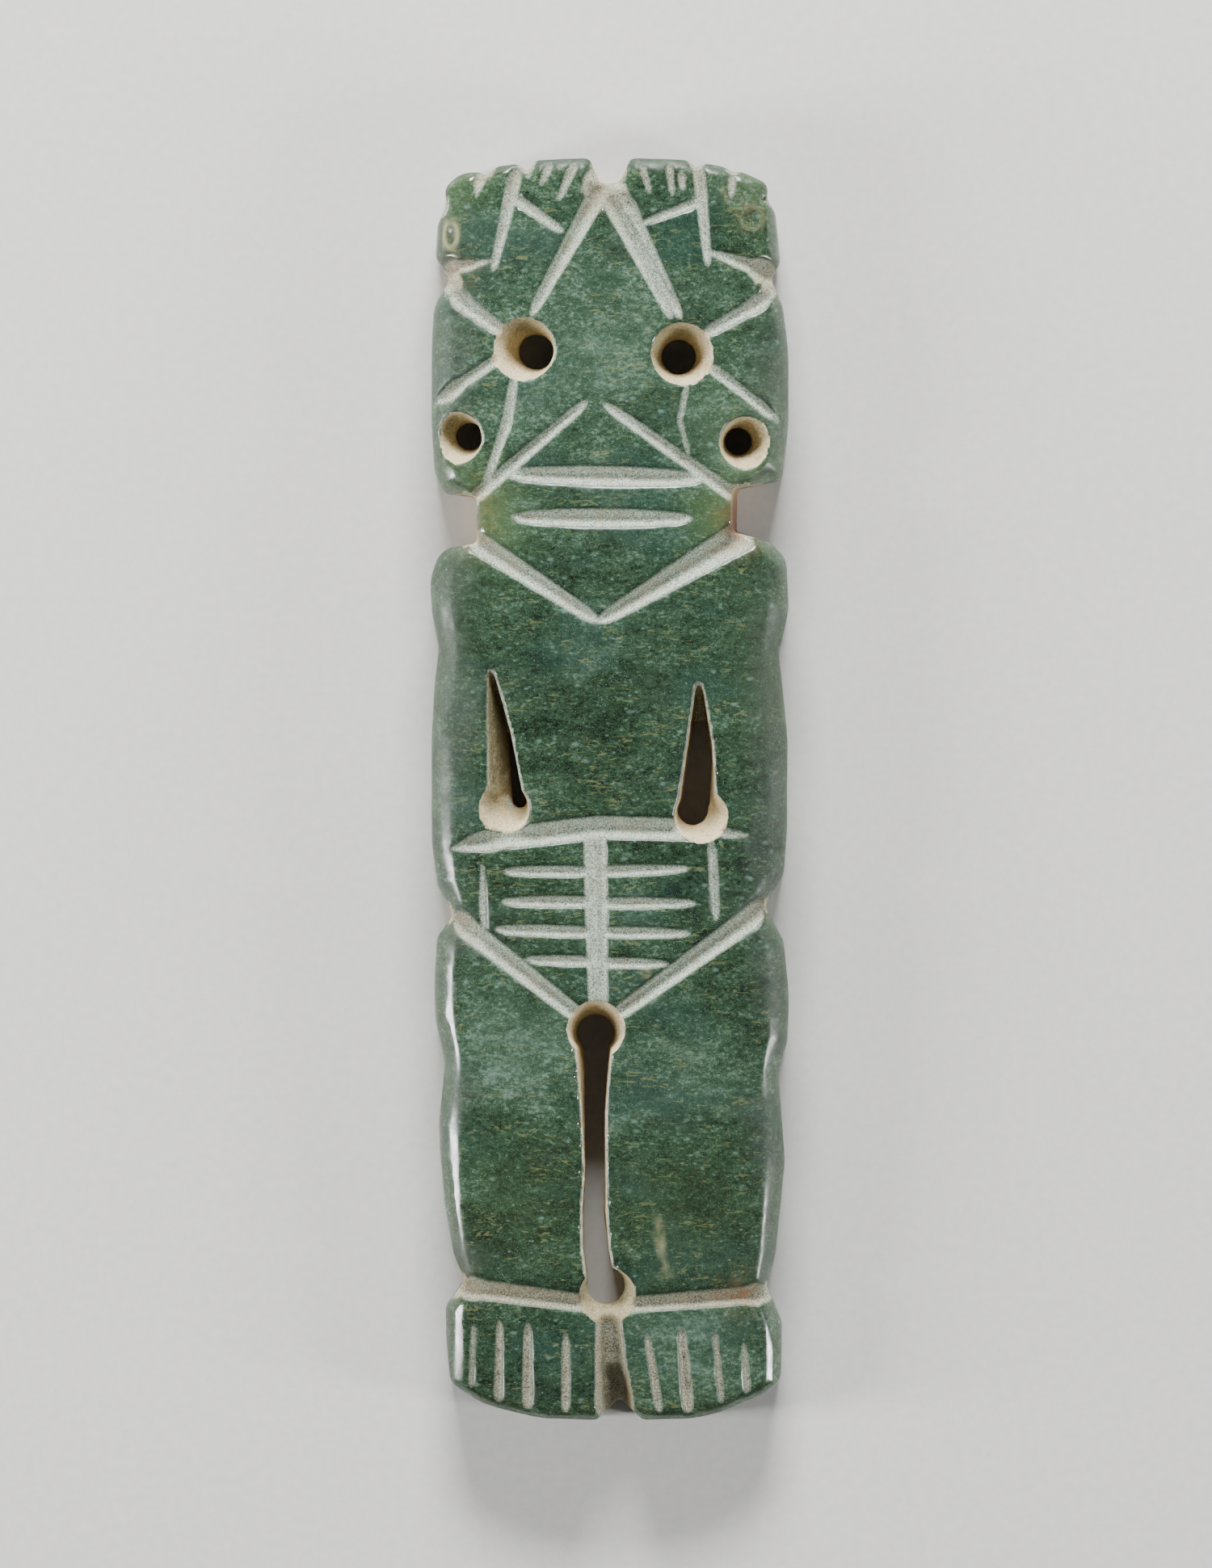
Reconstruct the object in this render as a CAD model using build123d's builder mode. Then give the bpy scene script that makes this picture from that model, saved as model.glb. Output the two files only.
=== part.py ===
"""Jade figure pendant: one flat carved stone, drilled, slotted and grooved, lying face up.

X runs across the figure, Y from its soles to its crown and Z out of its face. The origin is the
middle of the flat back.
"""
import os
from math import ceil, sqrt
from build123d import *

# Overall size, in millimetres
height = 150.0
width = 42.6
thickness = 13.0

# The front is a shallow dome: round across the figure, and flatter along it
dome_radius_across = 105.0
dome_radius_along = 1100.0
dome_crest = 0.60  # share of the height
side_rim_round = 4.0  # along the two long sides of the front
end_rim_round = 0.8  # along the crown and the soles
back_rim_round = 1.2
least_wall = 1.0  # straight wall between the rims of the long sides

# Drilled holes, each bored from both faces to a short straight waist
eye_mouth_radius = 3.75
eye_waist_radius = 2.1
ear_mouth_radius = 3.1
ear_waist_radius = 1.65
waist_length = 2.4
back_mouth_share = 0.85  # mouth on the back, as a share of the one on the front

# Slots under the arms and between the legs
arm_end_radius = 3.2
left_arm_waist_radius = 0.85
right_arm_waist_radius = 1.8
leg_mouth_radius = 3.4
leg_waist_radius = 2.25

# Sawn grooves: this depth goes with this width, and wider grooves are deeper in proportion
groove_width = 2.1
groove_depth = 0.8
groove_floor = 0.3  # width of a groove's flat floor, as a share of its own width
groove_tip = 1.2  # length of a groove's pointed end, in its own widths
groove_step = 5.0  # a groove's floor follows the front at least this often
groove_rim_drop = 2.4  # how far a groove follows the rims of the sides down
groove_end_margin = 0.02  # share of the height that a groove crosses level at the crown and the soles
dimple_depth_share = 0.35  # of a dimple's radius
slope_probe = 0.2  # how far to each side the front's slope is measured
neck_wall_slant = 0.9  # how much further in the neck's left wall stands at the front

cut_clearance = 1.0  # how far cutters stand out of the stone
half_width = width / 2

# Outline, up the figure's right side, which is on the left of the face, from the sole to the crown.
# Places are shares of the half width and the height, roundings shares of the half width.
# across, up, rounding
outline_left = [
    (-0.383, 0.0012, 0.60),
    (-0.690, 0.0110, 0.50),
    (-0.893, 0.0290, 0.09),
    (-0.915, 0.0640, 0.30),
    (-0.919, 0.0895, 0.07),
    (-0.808, 0.1113, 0.03),
    (-0.868, 0.1290, 0.20),
    (-0.925, 0.1700, 0.80),
    (-0.962, 0.2300, 0.80),
    (-0.920, 0.2830, 0.30),
    (-0.980, 0.3200, 0.15),
    (-0.982, 0.3500, 0.60),
    (-0.966, 0.3830, 0.08),
    (-0.870, 0.4005, 0.05),
    (-0.962, 0.4230, 0.12),
    (-0.995, 0.4560, 0.60),
    (-0.996, 0.5400, 1.50),
    (-0.982, 0.5810, 0.90),
    (-0.955, 0.6125, 0.20),
    (-0.993, 0.6400, 0.30),
    (-1.004, 0.6660, 0.30),
    (-0.945, 0.6910, 0.12),
    (-0.733, 0.6945, 0.04),
    (-0.745, 0.7150, 0.20),
    (-0.737, 0.7325, 0.04),
    (-0.935, 0.7355, 0.06),
    (-0.980, 0.7520, 0.10),
    (-0.996, 0.7900, 0.80),
    (-0.996, 0.8520, 0.60),
    (-0.984, 0.8840, 0.20),
    (-0.890, 0.9040, 0.06),
    (-0.986, 0.9240, 0.15),
    (-0.978, 0.9450, 0.25),
    (-0.905, 0.9635, 0.03),
    (-0.935, 0.9760, 0.08),
    (-0.835, 0.9880, 0.12),
    (-0.735, 0.9895, 0.04),
    (-0.692, 0.9855, 0.02),
    (-0.630, 0.9935, 0.06),
    (-0.515, 0.9955, 0.04),
    (-0.462, 0.9880, 0.03),
    (-0.412, 0.9985, 0.04),
    (-0.115, 1.0000, 0.04),
]

# The same up the other side, with the cleft between the feet and the notch in the crown
outline_right = [
    (0.185, 0.0000, 0.03),
    (0.490, 0.0015, 0.60),
    (0.790, 0.0125, 0.40),
    (0.955, 0.0310, 0.08),
    (0.962, 0.0770, 0.08),
    (0.878, 0.1050, 0.04),
    (0.925, 0.1300, 0.40),
    (0.978, 0.2050, 0.60),
    (0.940, 0.2740, 0.30),
    (0.992, 0.3010, 0.12),
    (1.000, 0.3350, 0.50),
    (0.972, 0.3800, 0.10),
    (0.862, 0.4080, 0.05),
    (0.970, 0.4320, 0.10),
    (0.990, 0.4700, 0.60),
    (0.992, 0.5400, 1.20),
    (0.942, 0.6070, 0.20),
    (0.998, 0.6430, 0.25),
    (0.984, 0.6820, 0.12),
    (0.900, 0.6960, 0.10),
    (0.712, 0.7030, 0.02),
    (0.716, 0.7390, 0.02),
    (0.965, 0.7460, 0.05),
    (0.998, 0.7900, 0.60),
    (0.996, 0.8500, 0.60),
    (0.966, 0.8830, 0.20),
    (0.902, 0.9040, 0.06),
    (0.975, 0.9240, 0.15),
    (0.945, 0.9530, 0.20),
    (0.876, 0.9675, 0.03),
    (0.885, 0.9800, 0.06),
    (0.725, 0.9900, 0.04),
    (0.685, 0.9880, 0.02),
    (0.640, 0.9930, 0.04),
    (0.527, 0.9960, 0.05),
    (0.482, 0.9915, 0.03),
    (0.428, 0.9985, 0.04),
    (0.115, 1.0000, 0.04),
]

foot_cleft = (0.054, 0.0166, 0.015)
foot_corner = (-0.077, 0.0000, 0.03)
crown_notch = [(0.055, 0.9800, 0.05), (-0.060, 0.9800, 0.05)]

# The smooth blank that the outline is sawn from, in the same shares. Its rims are the rounded ones.
blank_outline = [
    (-0.400, -0.0010, 0.80),
    (-0.925, 0.0230, 0.00),
    (-0.925, 0.1000, 2.00),
    (-1.003, 0.4200, 3.00),
    (-1.006, 0.8400, 2.00),
    (-0.950, 0.9860, 0.00),
    (-0.450, 1.0010, 0.60),
    (0.450, 1.0010, 0.60),
    (0.905, 0.9870, 0.00),
    (1.006, 0.8400, 2.00),
    (1.003, 0.3500, 3.00),
    (0.970, 0.0270, 0.00),
    (0.500, -0.0010, 0.80),
]

# Sawn grooves by region. Places are shares of the half width and the height, widths are in
# groove_width. Both ends run on into a pointed tip.
# start across, start up, end across, end up, start width, end width
grooves = {
    "forehead": [
        (-0.055, 0.9740, -0.405, 0.8840, 1.30, 0.76),
        (0.011, 0.9620, 0.312, 0.8810, 1.15, 0.70),
        (0.104, 0.9620, 0.370, 0.8800, 0.92, 0.66),
        (0.010, 0.9950, -0.010, 0.9840, 1.60, 1.35),
        (-0.510, 0.997, -0.640, 0.918, 1.15, 0.62),
        (-0.515, 0.966, -0.300, 0.945, 0.75, 0.55),
        (0.491, 0.997, 0.541, 0.922, 1.00, 0.60),
        (0.477, 0.964, 0.205, 0.949, 0.72, 0.48),
    ],
    "crown": [
        (-0.320, 1.001, -0.375, 0.982, 1.15, 0.42),
        (-0.180, 1.001, -0.275, 0.970, 0.95, 0.42),
        (-0.105, 0.994, -0.150, 0.975, 0.70, 0.35),
        (0.165, 1.001, 0.215, 0.975, 0.75, 0.38),
        (0.324, 1.001, 0.345, 0.975, 0.85, 0.45),
        (0.400, 0.985, 0.403, 0.981, 0.60, 0.55),
        (-0.715, 0.991, -0.745, 0.971, 1.45, 0.35),
        (0.689, 0.992, 0.678, 0.973, 0.90, 0.45),
    ],
    "brows": [
        (-0.985, 0.910, -0.680, 0.918, 1.45, 0.35),
        (0.985, 0.905, 0.565, 0.925, 1.50, 0.42),
        (-0.900, 0.893, -0.640, 0.866, 1.05, 0.88),
        (0.900, 0.890, 0.577, 0.864, 0.85, 0.82),
    ],
    "cheeks": [
        (-0.655, 0.838, -0.970, 0.808, 0.75, 0.78),
        (0.580, 0.832, 0.920, 0.795, 0.78, 0.58),
        (-0.540, 0.820, -0.575, 0.788, 0.68, 0.78),
        (-0.575, 0.790, -0.690, 0.743, 0.78, 0.58),
        (0.423, 0.815, 0.390, 0.792, 0.45, 0.45),
        (0.390, 0.792, 0.432, 0.767, 0.45, 0.38),
        (-0.175, 0.801, -0.755, 0.731, 0.66, 0.98),
        (0.015, 0.800, 0.690, 0.733, 0.66, 0.98),
    ],
    "mouth": [
        (-0.480, 0.749, 0.430, 0.746, 0.90, 0.95),
        (-0.460, 0.715, 0.370, 0.714, 0.85, 0.85),
    ],
    "chin": [
        (-0.800, 0.700, -0.135, 0.6392, 1.45, 0.85),
        (0.760, 0.702, 0.012, 0.6390, 2.00, 0.95),
    ],
    "belt": [
        (-0.698, 0.459, -0.068, 0.470, 1.38, 1.42),
        (-0.068, 0.470, 0.473, 0.468, 1.42, 1.35),
        (-0.743, 0.457, -0.850, 0.454, 1.05, 0.50),
        (0.631, 0.466, 0.750, 0.464, 0.75, 0.38),
    ],
    "waist": [
        (-0.116, 0.466, -0.090, 0.329, 0.76, 0.70),
        (-0.052, 0.466, -0.044, 0.329, 0.74, 0.70),
        (-0.540, 0.435, -0.149, 0.435, 0.60, 0.72),
        (-0.545, 0.411, -0.140, 0.411, 0.62, 0.74),
        (-0.580, 0.389, -0.140, 0.387, 0.64, 0.76),
        (-0.440, 0.365, -0.131, 0.364, 0.55, 0.70),
        (-0.035, 0.435, 0.395, 0.437, 0.74, 0.52),
        (-0.030, 0.410, 0.425, 0.410, 0.74, 0.56),
        (-0.023, 0.387, 0.395, 0.386, 0.74, 0.55),
        (-0.023, 0.363, 0.285, 0.362, 0.72, 0.52),
        (-0.712, 0.437, -0.708, 0.392, 0.34, 0.55),
        (0.570, 0.452, 0.588, 0.404, 0.64, 0.60),
    ],
    "hips": [
        (-0.920, 0.403, -0.205, 0.324, 1.50, 1.08),
        (0.915, 0.411, 0.070, 0.325, 1.58, 1.00),
    ],
    "ankles": [
        (-0.878, 0.1060, -0.135, 0.0930, 1.30, 1.15),
        (0.946, 0.1005, 0.113, 0.0918, 1.15, 1.05),
    ],
    "toes": [
        (-0.764, 0.072, -0.784, 0.015, 0.38, 0.46),
        (-0.617, 0.073, -0.630, 0.004, 0.48, 0.68),
        (-0.460, 0.070, -0.464, -0.002, 0.58, 0.78),
        (-0.248, 0.063, -0.248, -0.006, 0.50, 0.68),
        (0.212, 0.063, 0.293, -0.006, 0.48, 0.68),
        (0.404, 0.066, 0.446, -0.004, 0.62, 0.88),
        (0.590, 0.065, 0.635, -0.001, 0.40, 0.58),
        (0.752, 0.056, 0.779, 0.009, 0.42, 0.62),
    ],
}

# How much wider the grooves of a region are halfway along, in groove_width
groove_swell = {"mouth": 0.35, "waist": 0.10}

# How a groove ends: how far out along its tip, and its width and depth there as a share
groove_end = [(1.0, 0.10), (0.55, 0.70)]

# Drilled holes. The mouth on the front stands beside the waist, because the drill was slanted.
# mouth across, mouth up, waist across, waist up, mouth radius, waist radius
holes = [
    (-0.486, 0.8484, -0.412, 0.8471, eye_mouth_radius, eye_waist_radius),
    (0.405, 0.8445, 0.383, 0.8432, eye_mouth_radius, eye_waist_radius),
    (-0.860, 0.7780, -0.784, 0.7799, ear_mouth_radius, ear_waist_radius),
    (0.757, 0.7741, 0.716, 0.7760, ear_mouth_radius, ear_waist_radius),
    (-0.599, 0.4843, -0.505, 0.4907, arm_end_radius, left_arm_waist_radius),
    (0.509, 0.4786, 0.462, 0.4836, arm_end_radius, right_arm_waist_radius),
    (-0.077, 0.3100, -0.082, 0.3070, leg_mouth_radius, leg_waist_radius),
    (-0.014, 0.0985, -0.023, 0.1068, leg_mouth_radius, leg_waist_radius),
]

# Slots between those holes: their edges on the front and at the waist, from the top down
# across on the left, across on the right, up; the same three at the waist
slots = {
    "left_arm": [
        (-0.698, -0.667, 0.5980, -0.602, -0.592, 0.5800),
        (-0.712, -0.565, 0.5490, -0.558, -0.532, 0.5430),
        (-0.716, -0.482, 0.4900, -0.540, -0.470, 0.4920),
    ],
    "right_arm": [
        (0.482, 0.504, 0.5890, 0.462, 0.552, 0.5530),
        (0.430, 0.572, 0.5380, 0.432, 0.568, 0.5200),
        (0.378, 0.600, 0.4900, 0.395, 0.552, 0.4860),
    ],
    "legs": [
        (-0.213, 0.022, 0.3000, -0.148, -0.006, 0.3000),
        (-0.190, -0.003, 0.2800, -0.140, -0.015, 0.2800),
        (-0.164, -0.024, 0.2440, -0.143, -0.032, 0.2440),
        (-0.142, -0.018, 0.1980, -0.136, -0.034, 0.1980),
        (-0.158, -0.014, 0.1660, -0.150, -0.036, 0.1660),
        (-0.158, -0.002, 0.1370, -0.147, -0.010, 0.1370),
        (-0.138, 0.040, 0.1080, -0.122, 0.022, 0.1080),
    ],
}

# Shallow drilled dimples on the temples: across, up, radius
dimples = [(-0.892, 0.9390, 1.0), (0.790, 0.9520, 1.4)]

# The cleft between the feet, from below the leg slot to the soles
# up, left edge across, floor from, floor to, right edge across, depth as a share of the thickness
foot_groove = [
    (0.0900, -0.078, -0.047, 0.020, 0.052, 0.10),
    (0.0450, -0.081, -0.032, 0.054, 0.091, 0.16),
    (0.0240, -0.083, 0.005, 0.079, 0.121, 0.28),
    (-0.0050, -0.088, 0.045, 0.085, 0.160, 0.50),
]

# The slit of the neck on the figure's left: across at the back, low up, high up
neck_wall = (0.716, 0.7032, 0.7390)


def across(share):
    return share * half_width


def up(share):
    return (share - 0.5) * height


def dome_height(x, y):
    """Height of the dome above the back at a place on the figure."""
    ring = dome_radius_across - dome_radius_along
    along = sqrt(dome_radius_along ** 2 - (y - up(dome_crest)) ** 2)
    return thickness - dome_radius_across + sqrt((ring + along) ** 2 - x ** 2)


def front_height(x, y):
    """Height of the blank's front at a place, following the side rims down a little way."""
    inside = min(max(y, up(groove_end_margin)), up(1 - groove_end_margin))
    lowest = dome_height(x, inside) - groove_rim_drop
    hits = blank.part.find_intersection_points(Axis((x, inside, 0), (0, 0, 1)))
    return max([lowest] + [point.Z for point, _ in hits])


def rounded_outline(rows):
    """A closed outline of straight runs whose corners have the table's roundings."""
    points = [(across(row[0]), up(row[1])) for row in rows]
    with BuildSketch() as sketch:
        with BuildLine():
            FilletPolyline(*points, radius=[across(row[2]) for row in rows], close=True)
        make_face()
    return sketch.sketch


def between_planes(top_points, top, bottom_points, bottom):
    """A solid with flat sides between two outlines of as many points at two heights."""
    with BuildPart(mode=Mode.PRIVATE) as solid:
        for points, level in ((top_points, top), (bottom_points, bottom)):
            with BuildSketch(Plane.XY.offset(level)):
                with BuildLine():
                    Polyline(*points, close=True)
                make_face()
        loft(ruled=True)
    return solid.part


def oblique_cone(mouth, mouth_radius, mouth_level, waist, waist_radius, waist_level):
    """A cone from a waist out past its mouth, which may stand to one side of the waist."""
    reach = (abs(mouth_level - waist_level) + cut_clearance) / abs(mouth_level - waist_level)
    outer = (waist[0] + (mouth[0] - waist[0]) * reach, waist[1] + (mouth[1] - waist[1]) * reach)
    outer_radius = waist_radius + (mouth_radius - waist_radius) * reach
    outer_level = waist_level + (mouth_level - waist_level) * reach
    with BuildPart(mode=Mode.PRIVATE) as cone:
        for centre, radius, level in ((outer, outer_radius, outer_level), (waist, waist_radius, waist_level)):
            with BuildSketch(Plane(origin=(centre[0], centre[1], level))):
                Circle(radius)
        loft(ruled=True)
    return cone.part


def drilled_hole(row):
    """Two cones that meet in a short straight waist halfway through the stone."""
    mouth = (across(row[0]), up(row[1]))
    waist = (across(row[2]), up(row[3]))
    mouth_radius, waist_radius = row[4], row[5]
    middle = thickness / 2
    upper, lower = middle + waist_length / 2, middle - waist_length / 2
    front = dome_height(*mouth)
    back_mouth_radius = waist_radius + (mouth_radius - waist_radius) * back_mouth_share
    with BuildPart(mode=Mode.PRIVATE) as hole:
        add(oblique_cone(mouth, mouth_radius, front, waist, waist_radius, upper))
        with BuildSketch(Plane(origin=(waist[0], waist[1], lower))):
            Circle(waist_radius)
        extrude(amount=waist_length)
        add(oblique_cone(waist, back_mouth_radius, 0, waist, waist_radius, lower))
    return hole.part


def tapered_slot(rows):
    """A slot that narrows from both faces to its waist."""
    front = [(across(row[0]), up(row[2])) for row in rows]
    front += [(across(row[1]), up(row[2])) for row in reversed(rows)]
    waist = [(across(row[3]), up(row[5])) for row in rows]
    waist += [(across(row[4]), up(row[5])) for row in reversed(rows)]
    middle = thickness / 2
    reach = (middle + cut_clearance) / middle
    outer = [(w[0] + (f[0] - w[0]) * reach, w[1] + (f[1] - w[1]) * reach) for f, w in zip(front, waist)]
    shrink = back_mouth_share * reach
    back = [(w[0] + (f[0] - w[0]) * shrink, w[1] + (f[1] - w[1]) * shrink) for f, w in zip(front, waist)]
    with BuildPart(mode=Mode.PRIVATE) as slot:
        add(between_planes(outer, thickness + cut_clearance, waist, middle))
        add(between_planes(waist, middle, back, -cut_clearance))
    return slot.part


def groove_section(place, share, along):
    """A groove's section at a place: a V with a flat floor, as wide and deep as its share."""
    aside = along.cross(Vector(0, 0, 1))
    surface = front_height(place.X, place.Y)
    deep = groove_depth * share
    floor = place + Vector(0, 0, surface - deep)
    top = place + Vector(0, 0, surface + cut_clearance)
    floor_half = aside * groove_width * share * groove_floor / 2
    flank = groove_width * (1 - groove_floor) / 2 / groove_depth
    lip = floor_half + aside * flank * (deep + cut_clearance)
    return Wire.make_polygon([top - lip, floor - floor_half, floor + floor_half, top + lip])


def sawn_groove(row, swell):
    """A groove along a straight run, following the front, that narrows to a tip at each end."""
    start, end = Vector(across(row[0]), up(row[1])), Vector(across(row[2]), up(row[3]))
    run = end - start
    along = run.normalized()
    steps = ceil(run.length / groove_step)
    start_tip = along * groove_tip * groove_width * row[4]
    end_tip = along * groove_tip * groove_width * row[5]
    stations = [(start - start_tip * reach, row[4] * share) for reach, share in groove_end]
    for part_way in [step / steps for step in range(steps + 1)]:
        share = row[4] + (row[5] - row[4]) * part_way + swell * 4 * part_way * (1 - part_way)
        stations.append((start + run * part_way, share))
    stations += [(end + end_tip * reach, row[5] * share) for reach, share in reversed(groove_end)]
    return Solid.make_loft([groove_section(place, share, along) for place, share in stations], ruled=True)


def cleft(rows):
    """The cleft between the feet, which deepens and widens towards the soles."""
    sections = []
    for level, left, floor_left, floor_right, right, depth_share in rows:
        surface = dome_height(0, up(level))
        deep = thickness * depth_share
        reach = (deep + cut_clearance) / deep
        places = [
            (floor_left + (left - floor_left) * reach, surface + cut_clearance),
            (floor_left, surface - deep),
            (floor_right, surface - deep),
            (floor_right + (right - floor_right) * reach, surface + cut_clearance),
        ]
        sections.append(Wire.make_polygon([(across(place), up(level), z) for place, z in places]))
    return Solid.make_loft(sections, ruled=True)


def dimple(row):
    """A shallow cone drilled square to the front's slope."""
    x, y, radius = across(row[0]), up(row[1]), row[2]
    slope_x = front_height(x + slope_probe, y) - front_height(x - slope_probe, y)
    slope_y = front_height(x, y + slope_probe) - front_height(x, y - slope_probe)
    outward = Vector(-slope_x, -slope_y, 2 * slope_probe).normalized()
    deep = radius * dimple_depth_share
    reach = 1 + cut_clearance / deep
    top = Vector(x, y, front_height(x, y)) + outward * cut_clearance
    with BuildPart(Plane(origin=top, z_dir=outward), mode=Mode.PRIVATE) as cone:
        Cone(0, radius * reach, deep * reach, align=(Align.CENTER, Align.CENTER, Align.MAX))
    return cone.part


def slanted_neck_wall(back, low, high):
    """What the neck's slit takes from its wall at the front and not at the back."""
    edge = across(1.1)
    front = across(back) - neck_wall_slant
    corners = [(edge, up(low)), (edge, up(high))]
    outer = [(front, up(high)), (front, up(low)), *corners]
    inner = [(across(back), up(high)), (across(back), up(low)), *corners]
    return between_planes(outer, thickness, inner, 0)


# The blank: a smooth slab with a domed front and rounded rims
with BuildPart() as blank:
    with BuildSketch():
        add(rounded_outline(blank_outline))
    extrude(amount=thickness + cut_clearance)
    dome_axis = thickness - dome_radius_across
    low, high = up(-0.1), up(1.1)
    with BuildSketch(Plane.YZ):
        with BuildLine() as profile:
            ThreePointArc((low, dome_height(0, low)), (up(dome_crest), thickness), (high, dome_height(0, high)))
            Polyline(profile.line @ 1, (high, dome_axis), (low, dome_axis), profile.line @ 0)
        make_face()
    revolve(axis=Axis((0, 0, dome_axis), (0, 1, 0)), mode=Mode.INTERSECT)
    front_rim = blank.faces().sort_by(Axis.Z)[-1].edges()
    sides = front_rim.filter_by(lambda edge: abs((edge @ 1 - edge @ 0).Y) > abs((edge @ 1 - edge @ 0).X))
    fillet(sides, min(side_rim_round, dome_height(half_width, up(0)) - back_rim_round - least_wall))
    front_rim = blank.faces().sort_by(Axis.Z)[-1].edges()
    ends = front_rim.filter_by(lambda edge: abs(edge.center().X) < 0.7 * half_width)
    fillet(ends, end_rim_round)
    fillet(blank.faces().sort_by(Axis.Z)[0].edges(), back_rim_round)

# The figure: the blank inside its sawn outline, with every slot, hole and groove cut into it
cutters = [tapered_slot(rows) for rows in slots.values()]
cutters += [drilled_hole(row) for row in holes]
cutters += [sawn_groove(row, groove_swell.get(region, 0)) for region, rows in grooves.items() for row in rows]
cutters += [dimple(row) for row in dimples]
cutters += [cleft(foot_groove), slanted_neck_wall(*neck_wall)]
with BuildPart() as jade_figure:
    add(blank.part)
    with BuildSketch(Plane.XY.offset(-cut_clearance)):
        add(rounded_outline([foot_cleft, *outline_right, *crown_notch, *reversed(outline_left), foot_corner]))
    extrude(amount=thickness + 2 * cut_clearance, mode=Mode.INTERSECT)
    add(cutters, mode=Mode.SUBTRACT)

jade_figure.part.label = "jade_figure"

os.makedirs("parts", exist_ok=True)
export_step(jade_figure.part, "parts/jade_figure.step")
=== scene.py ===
"""Jade figure pendant: one flat carved stone that lies face up, seen from straight above.

The solid is remeshed and smoothed as a hand-worked stone, then gets its green jade, its matt
sawn grooves and its tan drilled walls. Work on the mesh is done in millimetres.
"""
import math

import bpy
import numpy as np
from mathutils import Matrix, Vector, noise
from mathutils.bvhtree import BVHTree


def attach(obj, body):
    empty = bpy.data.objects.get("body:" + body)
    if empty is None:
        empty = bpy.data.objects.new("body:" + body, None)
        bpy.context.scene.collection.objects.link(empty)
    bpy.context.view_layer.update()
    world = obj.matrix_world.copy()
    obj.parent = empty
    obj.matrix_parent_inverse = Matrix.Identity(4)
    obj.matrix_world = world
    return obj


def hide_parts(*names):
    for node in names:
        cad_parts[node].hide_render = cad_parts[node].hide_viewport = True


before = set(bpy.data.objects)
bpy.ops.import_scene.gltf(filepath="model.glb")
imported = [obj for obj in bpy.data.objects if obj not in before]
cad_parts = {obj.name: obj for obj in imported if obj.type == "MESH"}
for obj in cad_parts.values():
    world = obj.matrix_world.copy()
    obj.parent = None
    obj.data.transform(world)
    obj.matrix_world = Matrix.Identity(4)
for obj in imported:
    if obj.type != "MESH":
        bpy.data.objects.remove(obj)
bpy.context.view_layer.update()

MM = 0.001

# The photograph's frame in pixels, and where the stone stands in it
PHOTO = (1500, 1941)
STONE_MIDDLE = 755.0
STONE_HALF_WIDTH = 222.0
STONE_SOLES = 1759.0
STONE_TALL = 1563.5
HALF_WIDTH = 21.3  # millimetres
HEIGHT = 150.0

# The front's dome as the solid has it, in millimetres
DOME_TOP = 13.0
DOME_ACROSS = 105.0
DOME_ALONG = 1100.0
DOME_CREST = 15.0

# Mesh work, in millimetres
ROUGH_VOXEL = 0.3
VOXEL = 0.25
CELL = 0.2  # of the maps over the stone
GROOVE_REACH = 2.3  # half the widest groove
HOLE_REACH = 4.0  # half the widest hole
WAIST_DEEP = 6.0  # how far below the front the holes are narrowest
RIM_SIDE = 3.2  # rounding of the long sides
RIM_NOTCH = 1.2  # rounding in the neck and the notches
RIM_END = 1.6  # rounding of the crown and the soles
SIDE_BAND = (16.0, 19.5)  # how far out the long sides' rounding sets in and is full
END_BAND = (62.0, 72.0)  # how far along the ends' rounding sets in and is full
INSET = 0.6  # of the walls' map from the outline
EMPTY = -1.0  # a map's height where there is no stone
SKY = 99.0  # above all of the stone
PULL, PUSH = 0.5, -0.52  # the two halves of a round of smoothing
FIRST_ROUNDS = 4
LAST_ROUNDS = 24
WALL_KEPT = 0.85  # share of the last smoothing that the holes' walls are spared
MOST_TRIANGLES = 190000


def place(px, py):
    """Millimetres in the row frame for a pixel of the photograph."""
    x = (px - STONE_MIDDLE) / STONE_HALF_WIDTH * HALF_WIDTH
    y = ((STONE_SOLES - py) / STONE_TALL - 0.5) * HEIGHT
    return x, y


def length(pixels):
    """Millimetres for a length in the photograph's pixels."""
    return pixels / STONE_TALL * HEIGHT


def smoothstep(low, high, value):
    share = np.clip((value - low) / (high - low), 0, 1)
    return share * share * (3 - 2 * share)


# Mesh arrays


def points_of(mesh):
    """The mesh's points, a row each."""
    points = np.empty(len(mesh.vertices) * 3)
    mesh.vertices.foreach_get("co", points)
    return points.reshape(-1, 3)


def normals_of(mesh):
    """The directions that the mesh faces at its points."""
    normals = np.empty(len(mesh.vertices) * 3, dtype=np.float32)
    mesh.vertex_normals.foreach_get("vector", normals)
    return normals.reshape(-1, 3).astype(float)


def edges_of(mesh):
    """The numbers of the two points of each edge."""
    edges = np.empty(len(mesh.edges) * 2, dtype=np.int32)
    mesh.edges.foreach_get("vertices", edges)
    return edges.reshape(-1, 2)


def set_points(mesh, points):
    mesh.vertices.foreach_set("co", points.ravel())
    mesh.update()


def with_modifier(mesh, kind, **settings):
    """A new mesh: this one after one modifier."""
    piece = bpy.data.objects.new("worked", mesh)
    bpy.context.scene.collection.objects.link(piece)
    modifier = piece.modifiers.new(kind, kind)
    for name, value in settings.items():
        setattr(modifier, name, value)
    depsgraph = bpy.context.evaluated_depsgraph_get()
    made = bpy.data.meshes.new_from_object(piece.evaluated_get(depsgraph))
    bpy.data.objects.remove(piece)
    return made


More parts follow.
